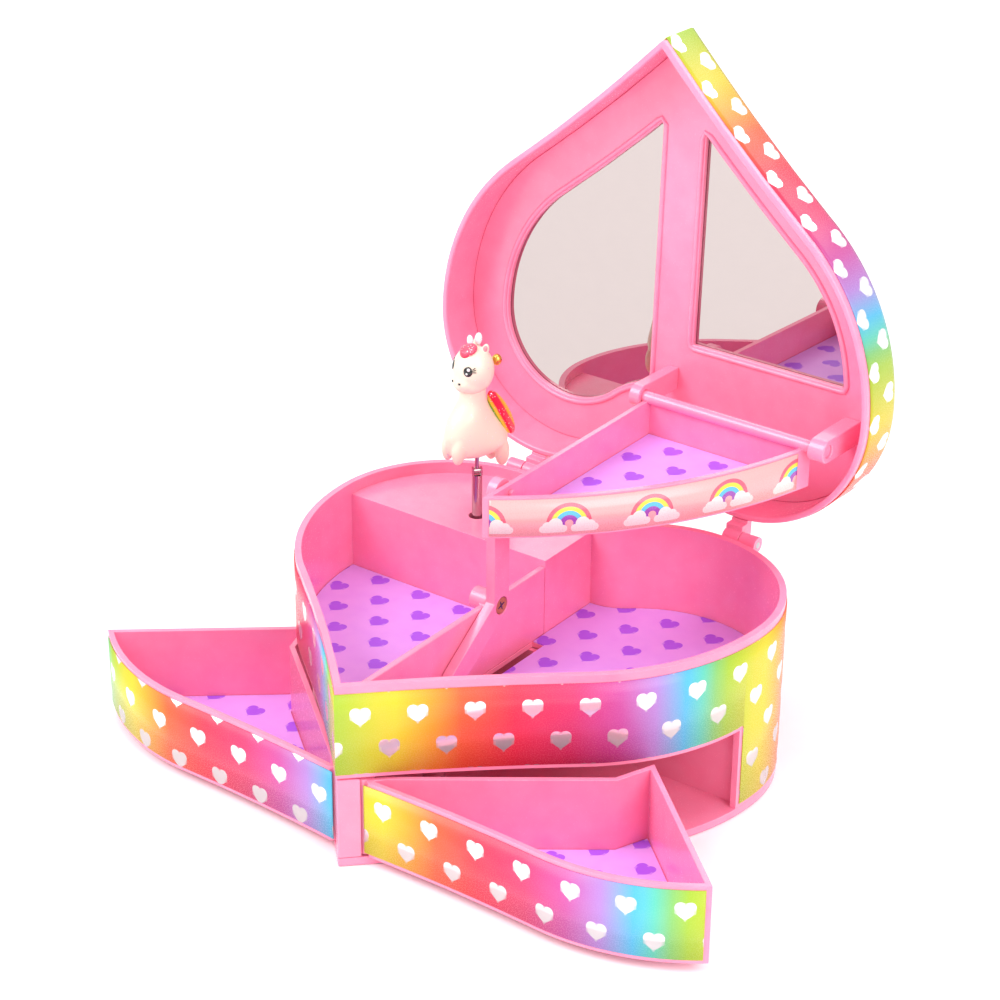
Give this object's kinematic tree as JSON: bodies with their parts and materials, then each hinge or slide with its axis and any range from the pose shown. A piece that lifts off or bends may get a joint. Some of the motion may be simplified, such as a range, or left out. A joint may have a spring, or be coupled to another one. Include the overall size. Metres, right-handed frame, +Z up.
{
  "type": "musical jewellery box",
  "caption": "Heart-shaped musical jewellery box with a mirrored lid that lifts a tray, swing-out drawers, lined compartments and a small animal figure that turns on a wind-up movement.",
  "frame": {"origin": "on the underside of the base plate, on the symmetry plane, midway between the heart's tip and the rear of its lobes", "axes": "+Z up, +Y towards the lid hinge, +X to the side of the lift tray"},
  "size_m": [0.2607, 0.2037, 0.237],
  "materials": {
    "pink_plastic": "glossy moulded pink",
    "printed_foil": "glossy printed film, rainbow gradient with silver hearts",
    "peach_foil": "glossy printed film, peach with rainbows and clouds",
    "lining_card": "lilac printed card with purple hearts",
    "mirror_sheet": "silvered acrylic",
    "zinc_steel": "zinc plated",
    "chrome_tube": "polished",
    "brass": "plain brass",
    "white_plastic": "satin white",
    "cream_resin": "cream resin with fine glitter",
    "rainbow_glitter": "painted rainbow with glitter"
  },
  "bodies": {
    "base": {"base_plate": "pink_plastic", "base_shell": "pink_plastic", "mid_floor": "pink_plastic", "tip_column": "pink_plastic", "drawer_bulkhead": "pink_plastic", "partition": "pink_plastic", "mechanism_housing": "pink_plastic", "key_cup": "pink_plastic", "base_hinge_lugs": "pink_plastic", "hinge_pins": "zinc_steel", "base_foil": "printed_foil", "left_lining": "lining_card", "right_lining": "lining_card", "base_screws": "zinc_steel", "drawer_pins": "zinc_steel", "arm_screw": "brass", "movement_bed": "zinc_steel", "comb": "zinc_steel"},
    "lid": {"lid_shell": "pink_plastic", "lid_hinge_lugs": "pink_plastic", "mirror_panel": "pink_plastic", "left_mirror": "mirror_sheet", "right_mirror": "mirror_sheet", "lid_foil": "printed_foil", "tray_brackets": "pink_plastic"},
    "tray": {"tray": "pink_plastic", "tray_lining": "lining_card", "tray_foil": "peach_foil"},
    "arm": {"lift_arm": "pink_plastic", "arm_pin": "pink_plastic"},
    "right_drawer": {"right_drawer": "pink_plastic", "right_drawer_lining": "lining_card", "right_drawer_foil": "printed_foil"},
    "left_drawer": {"left_drawer": "pink_plastic", "left_drawer_lining": "lining_card", "left_drawer_foil": "printed_foil"},
    "key": {"winding_key": "white_plastic", "winding_stem": "zinc_steel", "spring_barrel": "brass"},
    "cylinder": {"music_cylinder": "brass"},
    "governor": {"governor_fan": "brass"},
    "post": {"post_tube": "chrome_tube", "knee_fork": "chrome_tube"},
    "figure": {"figure_stem": "chrome_tube", "figure_body": "cream_resin", "figure_head": "cream_resin", "figure_tail": "rainbow_glitter", "figure_mane": "rainbow_glitter"}
  },
  "joints": [
    {"name": "lid_hinge", "type": "hinge", "parent": "base", "child": "lid", "pos_m": [0, 0.0881, 0.0664], "axis": [-1, 0, 0], "range_deg": [-92, 0]},
    {"name": "tray_pivot", "type": "hinge", "parent": "lid", "child": "tray", "pos_m": [0, 0.0879, 0.1104], "axis": [-1, 0, 0], "range_deg": [0, 92]},
    {"name": "arm_pivot", "type": "hinge", "parent": "base", "child": "arm", "pos_m": [0, 0.0042, 0.0623], "axis": [-1, 0, 0], "range_deg": [-92, 0]},
    {"name": "right_drawer_swing", "type": "hinge", "parent": "base", "child": "right_drawer", "pos_m": [0.0042, -0.0725, 0], "axis": [0, 0, -1], "range_deg": [-42, 0]},
    {"name": "left_drawer_swing", "type": "hinge", "parent": "base", "child": "left_drawer", "pos_m": [-0.0042, -0.0725, 0], "axis": [0, 0, 1], "range_deg": [-39, 0]},
    {"name": "winding_key", "type": "hinge", "parent": "base", "child": "key", "pos_m": [-0.058, 0.05426, 0], "axis": [0, 0, 1], "continuous": true},
    {"name": "figure_spin", "type": "hinge", "parent": "base", "child": "cylinder", "pos_m": [-0.0407, 0.0493, 0], "axis": [0, 0, 1], "continuous": true},
    {"name": "governor_spin", "type": "hinge", "parent": "base", "child": "governor", "pos_m": [-0.0513, 0.06967, 0], "axis": [0, 0, 1], "continuous": true},
    {"name": "figure_sink", "type": "slide", "parent": "cylinder", "child": "post", "axis": [0, 0, 1], "range_m": [-0.0077, 0]},
    {"name": "figure_fold", "type": "hinge", "parent": "post", "child": "figure", "pos_m": [-0.0407, 0.0493, 0.083], "axis": [-0.7071, -0.7071, 0], "range_deg": [-90, 0]}
  ],
  "couplings": [
    {"joint": "tray_pivot", "follows": "lid_hinge", "ratio": -1},
    {"joint": "arm_pivot", "follows": "lid_hinge", "ratio": 1},
    {"joint": "figure_sink", "follows": "lid_hinge", "m_per_rad": 0.0047954},
    {"joint": "figure_fold", "follows": "lid_hinge", "ratio": 0.97825},
    {"joint": "figure_spin", "follows": "winding_key", "ratio": -4},
    {"joint": "governor_spin", "follows": "winding_key", "ratio": -6}
  ]
}
